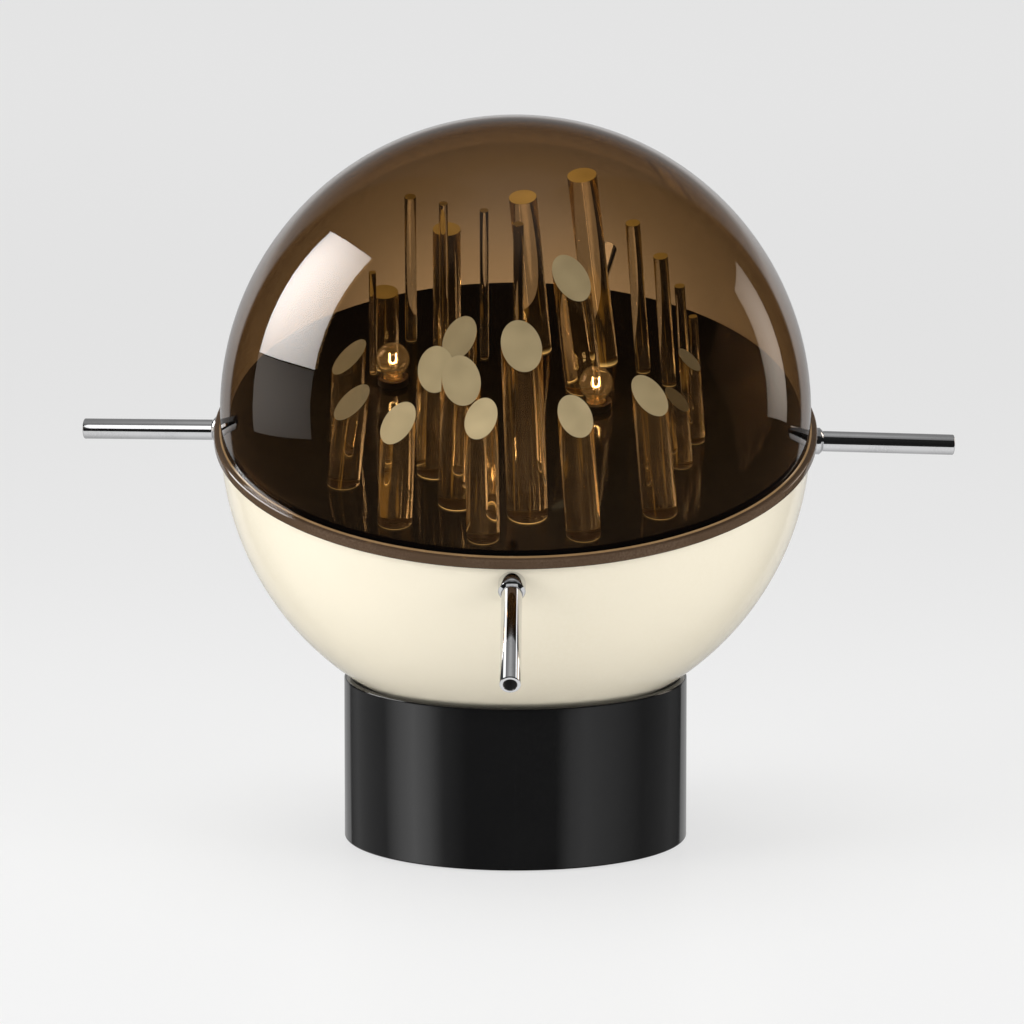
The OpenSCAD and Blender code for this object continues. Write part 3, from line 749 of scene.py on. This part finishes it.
def clear_finish(name, tint, ior, absorbed, density, shadow, wave=0.0, painted_inner_glow=(0, 0, 0)):
    """Polished clear plastic, tinted at its faces, in its depth and in its shadow, with a painted glow in
    its depth when one is given.
    """
    finish = bpy.data.materials.new(name)
    finish.use_nodes = True
    tree = finish.node_tree
    surface = tree.nodes["Principled BSDF"]
    surface.inputs["Base Color"].default_value = (*tint, 1)
    surface.inputs["Roughness"].default_value = 0.0
    surface.inputs["IOR"].default_value = ior
    surface.inputs["Transmission Weight"].default_value = 1
    if wave:
        spot = node(tree, "ShaderNodeTexCoord").outputs["Object"]
        ripple = node(tree, "ShaderNodeTexNoise", {"Vector": spot, "Scale": ripple_scale, "Detail": 2})
        relief = node(tree, "ShaderNodeBump", {"Height": ripple.outputs[0], "Distance": wave})
        tree.links.new(relief.outputs[0], surface.inputs["Normal"])
    clear = node(tree, "ShaderNodeBsdfTransparent", {"Color": (*shadow, 1)})
    shadowed = node(tree, "ShaderNodeLightPath").outputs["Is Shadow Ray"]
    either = node(tree, "ShaderNodeMixShader", {0: shadowed, 1: surface.outputs[0], 2: clear.outputs[0]})
    out = tree.nodes["Material Output"]
    tree.links.new(either.outputs[0], out.inputs["Surface"])
    if density:
        depth = node(tree, "ShaderNodeVolumeAbsorption", {"Color": (*absorbed, 1), "Density": density})
        if any(painted_inner_glow):
            painted_depth_glow = node(tree, "ShaderNodeEmission", {"Color": (*painted_inner_glow, 1), "Strength": 1})
            depth = node(tree, "ShaderNodeAddShader", {0: depth.outputs[0], 1: painted_depth_glow.outputs[0]})
        tree.links.new(depth.outputs[0], out.inputs["Volume"])
    return finish


def frosted_painted_glow_finish(name, tone, worn, glow, strength, through=False):
    """Sanded acrylic with a painted glow, outwards only or also through the rod. The mesh's glow attribute
    dims the painted glow.
    """
    finish = marked_finish(name, tone, worn, (0.55, 0.75), cloud=55, grain=1500, bump=3e-5)
    tree = finish.node_tree
    surface = tree.nodes["Principled BSDF"]
    share = node(tree, "ShaderNodeAttribute", attribute_name="glow").outputs["Fac"]
    spot = node(tree, "ShaderNodeTexCoord").outputs["Object"]
    values = {"Vector": spot, "Scale": painted_glow_cloud_scale, "Detail": 1}
    cloud = node(tree, "ShaderNodeTexNoise", values).outputs[0]
    cloud = sum_of(tree, "MULTIPLY_ADD", cloud, painted_glow_spread, painted_glow_least)
    painted_glow_share = sum_of(tree, "MULTIPLY", share, cloud)
    if not through:
        inner_side = node(tree, "ShaderNodeNewGeometry").outputs["Backfacing"]
        painted_glow_share = sum_of(tree, "MULTIPLY", painted_glow_share, sum_of(tree, "SUBTRACT", 1, inner_side))
    tones = {0: painted_glow_share, 6: grey(0), 7: (*glow, 1)}
    tint = node(tree, "ShaderNodeMix", tones, data_type="RGBA", clamp_factor=False)
    tree.links.new(tint.outputs[2], surface.inputs["Emission Color"])
    surface.inputs["Emission Strength"].default_value = strength
    return finish


# The rods' acrylic has a faint painted golden glow in its depth.
clear_acrylic = clear_finish(
    "clear_acrylic", (0.995, 0.99, 0.97), 1.49, (0.90, 0.75, 0.45), 14, (0.92, 0.86, 0.72),
    painted_inner_glow=(0.45, 0.24, 0.03),
)
# Painted golden streaks glow in the rods, strongest near each foot and fading upwards.
tree = clear_acrylic.node_tree
surface = tree.nodes["Principled BSDF"]
spot = node(tree, "ShaderNodeAttribute", attribute_name="streaks").outputs["Vector"]
painted_streak_runs = node(tree, "ShaderNodeTexNoise", {"Vector": spot, "Scale": painted_streak_scale, "Detail": 2}).outputs[0]
painted_streak_foot_share = node(tree, "ShaderNodeAttribute", attribute_name="streak_share").outputs["Fac"]
painted_streak_runs = sum_of(tree, "MULTIPLY", painted_streak_foot_share, eased(tree, painted_streak_runs, *painted_streak_level))
painted_streak_tone = node(tree, "ShaderNodeMix", {0: painted_streak_runs, 6: grey(0), 7: painted_streak_gold}, data_type="RGBA")
tree.links.new(painted_streak_tone.outputs[2], surface.inputs["Emission Color"])
surface.inputs["Emission Strength"].default_value = painted_streak_strength
clear_acrylic.cycles.emission_sampling = "NONE"
glue_face = marked_finish(
    "glue_face", (0.030, 0.018, 0.008), (0.050, 0.030, 0.012), (0.25, 0.4), cloud=90, grain=900
)
# Sanded top faces get a painted ivory glow and square ones a painted amber glow. The feet get a painted
# amber glow in a ring and through the foot.
ivory_face = frosted_painted_glow_finish("ivory_face", (0.30, 0.31, 0.25), (0.26, 0.27, 0.21), (0.94, 1.0, 0.86), 0.95)
amber_face = frosted_painted_glow_finish("amber_face", (0.22, 0.16, 0.05), (0.18, 0.12, 0.03), (1.0, 0.68, 0.18), 0.50)
amber_ring = frosted_painted_glow_finish("amber_ring", (0.10, 0.07, 0.03), (0.07, 0.05, 0.02), (1.0, 0.72, 0.32), 2.2)
amber_foot = frosted_painted_glow_finish(
    "amber_foot", (0.04, 0.026, 0.010), (0.03, 0.018, 0.008), (1.0, 0.80, 0.36), 1.3, through=True
)


def rod_ends(name):
    """The middle and normal of a packed rod's foot and top faces, and its radius."""
    bm = bmesh.new()
    bm.from_mesh(frame["nodes"][name].data)
    bmesh.ops.remove_doubles(bm, verts=bm.verts, dist=weld)
    bmesh.ops.dissolve_limit(bm, angle_limit=math.radians(1), verts=bm.verts, edges=bm.edges)
    ends = [face for face in bm.faces if len(face.verts) > round_corners]
    ends.sort(key=lambda face: face.calc_center_median().dot(deck_normal))
    foot, top = ends[0], ends[-1]
    start, end = foot.calc_center_median(), top.calc_center_median()
    axis = (end - start).normalized()
    arm = foot.verts[0].co - start
    radius = (arm - axis * arm.dot(axis)).length
    found = (start, foot.normal.copy(), end, top.normal.copy(), radius)
    bm.free()
    return found


for name in rod_names:
    number = int(name.split("_")[-1])
    cut = name.startswith("cut")
    face_painted_glow = (cut_face_painted_glow if cut else flat_face_painted_glow)[number - 1]
    foot_painted_glow = (cut_foot_painted_glow if cut else flat_foot_painted_glow)[number - 1]
    start, foot_normal, end, top_normal, radius = rod_ends(name)
    axis = (end - start).normalized()
    length = (end - start).length
    middle = Matrix.Translation((start + end) / 2) @ axis.to_track_quat("Z", "Y").to_matrix().to_4x4()
    bm = bmesh.new()
    bmesh.ops.create_cone(
        bm, cap_ends=False, segments=rod_segments, radius1=radius, radius2=radius,
        depth=length + 6 * radius, matrix=middle,
    )
    caps = []
    for point, normal in ((start - foot_normal * foot_lift, foot_normal), (end, top_normal)):
        sawn = bmesh.ops.bisect_plane(
            bm, geom=[*bm.verts, *bm.edges, *bm.faces], plane_co=point, plane_no=normal, clear_outer=True
        )
        rim = [item for item in sawn["geom_cut"] if isinstance(item, bmesh.types.BMEdge)]
        caps.append(bmesh.ops.contextual_create(bm, geom=rim)["faces"][0])
    bmesh.ops.recalc_face_normals(bm, faces=bm.faces)
    foot_rim, top_rim = (list(cap.edges) for cap in caps)
    caps[0].material_index = foot_slot
    caps[1].material_index = face_slot
    ring = bmesh.ops.bevel(
        bm, geom=foot_rim, offset=foot_edge, affect="EDGES", segments=2, profile=0.5, material=-1
    )
    for face in ring["faces"]:
        face.material_index = ring_slot
    bmesh.ops.bevel(bm, geom=top_rim, offset=rod_edge, affect="EDGES", segments=2, profile=0.5, material=-1)
    # Each vertex keeps its share of the painted glow, and the place and share of the painted golden streaks.
    shares = bm.verts.layers.float.new("glow")
    places = bm.verts.layers.float_vector.new("streaks")
    painted_streak_lows = bm.verts.layers.float.new("streak_share")
    for vert in bm.verts:
        reach = vert.co - start
        height = reach.dot(axis)
        vert[places] = vert.co - axis * height * (1 - painted_streak_drift)
        vert[painted_streak_lows] = 1 - painted_streak_fade * min(1, height / painted_streak_reach)
        # A foot's painted glow grows towards the front.
        front_painted_glow = max(0, foot_painted_glow_middle - foot_painted_glow_to_front * reach.y / radius)
        vert[shares] = foot_painted_glow * front_painted_glow if height < 2 * foot_edge else face_painted_glow
    finishes = [clear_acrylic, ivory_face, amber_ring, glue_face]
    if not cut:
        finishes = [clear_acrylic, amber_face, amber_ring, amber_foot]
    piece(name.replace("rod", "acrylic"), bm, finishes, "ball", [name], sharp=30)

# Bulbs
# Two small clear globe bulbs. Each has a thin blown envelope on a brass screw cap, with two glowing wire
# loops on a glass stem, and screws into a black moulded holder in the deck.
bulb_r = 0.0115
bulb_height = 0.018
bulb_wall = 0.0006
neck_r = 0.0065
cap_height = 0.005
neck_blend = 0.003
loop_r = 0.0029
loop_wire_r = 0.00045
loop_apart = 0.0022
loop_rise = 0.001
loop_height = bulb_height + loop_rise
loop_foot = 0.0015
wire_slot = 1
wire_glow = 260
wire_grain_scale = 900
wire_amber = (1, 0.62, 0.22, 1)
wire_white = (1, 0.84, 0.52, 1)
bulb_watts = 0.10
bulb_warm = (1.0, 0.62, 0.27)
bulb_painted_halo = 0.035
stem_r = 0.0015
bulb_feet = {"left": (-0.0835, 0.0427), "right": (0.0544, 0.0078)}
bulb_glass = clear_finish("bulb_glass", (1.0, 0.97, 0.92), 1.45, (1, 1, 1), 0, (0.97, 0.93, 0.86))
# A faint painted glow on each bulb's glass stands in for the filament's halo.
painted_halo_inputs = bulb_glass.node_tree.nodes["Principled BSDF"].inputs
painted_halo_inputs["Emission Color"].default_value = (1.0, 0.66, 0.28, 1)
painted_halo_inputs["Emission Strength"].default_value = bulb_painted_halo
stem_glass = clear_finish("stem_glass", (0.98, 0.96, 0.92), 1.5, (1, 1, 1), 0, (0.9, 0.9, 0.88))
brass = marked_finish(
    "cap_brass", (0.62, 0.43, 0.17), (0.44, 0.28, 0.10), (0.18, 0.34),
    cloud=90, grain=900, bump=6e-6, Metallic=1,
)
holder_plastic = marked_finish(
    "holder_plastic", (0.011, 0.010, 0.010), (0.022, 0.020, 0.018), (0.28, 0.45),
    cloud=60, grain=900, bump=1e-5,
)
hot_wire = bpy.data.materials.new("hot_wire")
hot_wire.use_nodes = True
tree = hot_wire.node_tree
spot = node(tree, "ShaderNodeTexCoord").outputs["Object"]
turns = node(tree, "ShaderNodeTexNoise", {"Vector": spot, "Scale": wire_grain_scale, "Detail": 1}).outputs[0]
heat = node(tree, "ShaderNodeMix", {0: turns, 6: wire_amber, 7: wire_white}, data_type="RGBA").outputs[2]
surface = tree.nodes["Principled BSDF"]
tree.links.new(heat, surface.inputs["Emission Color"])
surface.inputs["Emission Strength"].default_value = wire_glow
hot_wire.cycles.emission_sampling = "NONE"


def bulb_outline(radius, neck, low):
    """Half of a round bulb with a short neck, from its mouth to its crown."""
    lap = math.sqrt((radius + neck_blend) ** 2 - (neck + neck_blend) ** 2)
    waist = math.degrees(math.asin(lap / (radius + neck_blend)))
    return [
        (neck, low),
        *arc((neck + neck_blend, bulb_height - lap), neck_blend, 180, 180 - waist, 6),
        *arc((0, bulb_height), radius, -waist, 90, 28)[1:],
    ]


for side, (across_deck, along_deck) in bulb_feet.items():
    place = in_deck @ Matrix.Translation((across_deck, along_deck, 0))
    outside = bulb_outline(bulb_r, neck_r, cap_height)
    inside = bulb_outline(bulb_r - bulb_wall, neck_r - bulb_wall, cap_height)
    glass = turned([*reversed(inside), *outside], 64, closed=False)
    glass.transform(place)
    body = f"{side}_bulb"
    piece(f"bulb_envelope_{side}", glass, [bulb_glass], body, [f"bulb_glass_{side}"])
    stem_outline = [
        (0, cap_height),
        (stem_r, cap_height),
        (stem_r, loop_height - 2 * loop_r),
        *arc((stem_r / 2, loop_height - 2 * loop_r + stem_r / 2), stem_r / 2, 0, 90, 5),
        (0, loop_height - 2 * loop_r + stem_r),
    ]
    inner = turned(stem_outline, 24, closed=False)
    for way in (-1, 1):
        loop = [(loop_r + dx, dz) for dx, dz in arc((0, 0), loop_wire_r, 0, 324, 9)]
        wire = turned(loop, 36)
        loop_place = Matrix.Translation((way * loop_apart, 0, loop_height))
        wire.transform(loop_place @ Matrix.Rotation(math.pi / 2, 4, "Y"))
        foot = Vector((0, 0, loop_height - loop_r - loop_foot))
        tip = Vector((way * loop_apart, 0, loop_height - loop_r))
        turn = (tip - foot).to_track_quat("Z", "Y").to_matrix().to_4x4()
        bmesh.ops.create_cone(
            wire, cap_ends=True, segments=10, radius1=loop_wire_r, radius2=loop_wire_r,
            depth=(tip - foot).length, matrix=Matrix.Translation((foot + tip) / 2) @ turn,
        )
        for face in wire.faces:
            face.material_index = wire_slot
        put_into(inner, wire)
    inner.transform(place)
    piece(
        f"bulb_wires_{side}", inner, [stem_glass, hot_wire], body, [f"bulb_filament_{side}"]
    )
    glow = bpy.data.lights.new(f"bulb_light_{side}", "POINT")
    glow.energy = bulb_watts
    glow.color = bulb_warm
    glow.shadow_soft_size = loop_r
    glow_at = bpy.data.objects.new(f"bulb_light_{side}", glow)
    glow_at.location = place @ Vector((0, 0, loop_height))
    glow_at.visible_camera = False
    glow_at.visible_glossy = False
    glow_at.visible_transmission = False
    bpy.context.scene.collection.objects.link(glow_at)
    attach(glow_at, body)
    dress(brass, f"bulb_cap_{side}")
    dress(holder_plastic, f"bulb_holder_{side}")

# Wiring and switch
# A terminal block and sleeved leads under the deck, and a push switch in the back of the shell with a
# chromed nut and a domed button.
block_plastic = marked_finish(
    "block_plastic", (0.72, 0.69, 0.61), (0.60, 0.56, 0.47), (0.35, 0.5), cloud=60, grain=700, bump=1e-5
)
lead_sleeve = marked_finish(
    "lead_sleeve", (0.40, 0.25, 0.07), (0.28, 0.17, 0.05), (0.38, 0.55), cloud=80, grain=900, bump=1e-5
)
dress(block_plastic, "terminal_block")
dress(lead_sleeve, "leads")
dress(holder_plastic, "switch_body")
switch_nut_r = 0.0095
switch_nut_hole_r = 0.0061
switch_nut_t = 0.003
nut_round = 0.0006
nut_seat = 0.0001
button_r = 0.004
button_low = -0.007
button_high = 0.009
button_round = 0.0012
nut_outline = [
    (switch_nut_hole_r, nut_seat),
    (switch_nut_r, nut_seat),
    *arc((switch_nut_r - nut_round, switch_nut_t - nut_round), nut_round, 0, 90, 5),
    *arc((switch_nut_hole_r + nut_round, switch_nut_t - nut_round), nut_round, 90, 180, 5),
]
nut = turned(nut_outline, 64)
nut.transform(switch_place)
piece("switch_collar", nut, [chrome], "ball", ["switch_nut"])
button_outline = [
    (0, button_low),
    (button_r, button_low),
    *arc((button_r - button_round, button_high - button_round), button_round, 0, 90, 6),
    (0, button_high),
]
button = turned(button_outline, 48, closed=False)
button.transform(switch_place)
piece("push_button", button, [chrome], "button", ["switch_button"])

# Dome
# Blown dome of smoked acrylic, a little more than half a ball, with a flange that stands on the shell's
# rim. A small fillet runs where the dome meets its flange, with a painted golden glow along it.
dome_rise = 0.0168
dome_r = 0.2
dome_wall = 0.004
flange_r = 0.2044
flange_half = 0.0035
flange_round = 0.0015
fillet = 0.0010
dome_in_r = dome_r - dome_wall
mouth_angle = math.degrees(math.asin((-flange_half - dome_rise) / dome_in_r))
fillet_height = flange_half + fillet
fillet_angle = math.degrees(math.asin((fillet_height - dome_rise) / (dome_r + fillet)))
fillet_r = (dome_r + fillet) * math.cos(math.radians(fillet_angle))
dome_outline = [
    *arc((0, dome_rise), dome_in_r, 90, mouth_angle, 64),
    *arc((flange_r - flange_round, -flange_half + flange_round), flange_round, -90, 0, 6),
    *arc((flange_r - flange_round, flange_half - flange_round), flange_round, 0, 90, 6),
    *arc((fillet_r, fillet_height), fillet, -90, -180 + fillet_angle, 4),
    *arc((0, dome_rise), dome_r, fillet_angle, 90, 64)[1:],
]
smoked = clear_finish(
    "smoked_acrylic", (1.0, 0.99, 0.98), 1.49, (0.52, 0.335, 0.05), 345, (0.97, 0.96, 0.95), wave=4e-6
)
satin_edge = marked_finish(
    "satin_edge", (0.080, 0.050, 0.030), (0.115, 0.076, 0.050), (0.05, 0.10),
    cloud=12, grain=700, bump=3e-6, Specular_IOR_Level=0.6,
)
# A thin painted golden glow along the fillet.
lit_fillet = marked_finish(
    "lit_fillet", (0.10, 0.06, 0.03), (0.16, 0.10, 0.05), (0.10, 0.20), cloud=60, grain=900,
    Emission_Color=(1.0, 0.62, 0.28, 1), Emission_Strength=0.16,
)
dome = turned(dome_outline, 192, closed=False)
for face in dome.faces:
    middle = face.calc_center_median()
    if math.hypot(middle.x, middle.y) > dome_r - flange_round / 2:
        on_flange = abs(middle.z) < flange_half + snap
        on_fillet = not on_flange and 0 < middle.z < fillet_height
        face.material_index = int(on_flange) + 2 * int(on_fillet)
dome.transform(in_ball)
piece("smoked_dome", dome, [smoked, satin_edge, lit_fillet], "dome", ["dome"], sharp=40)

# Every piece but the arms mirrors the key card
for made in bpy.data.objects:
    if made.type == "MESH" and made not in arm_pieces.values():
        key_mirrors.objects.link(made)
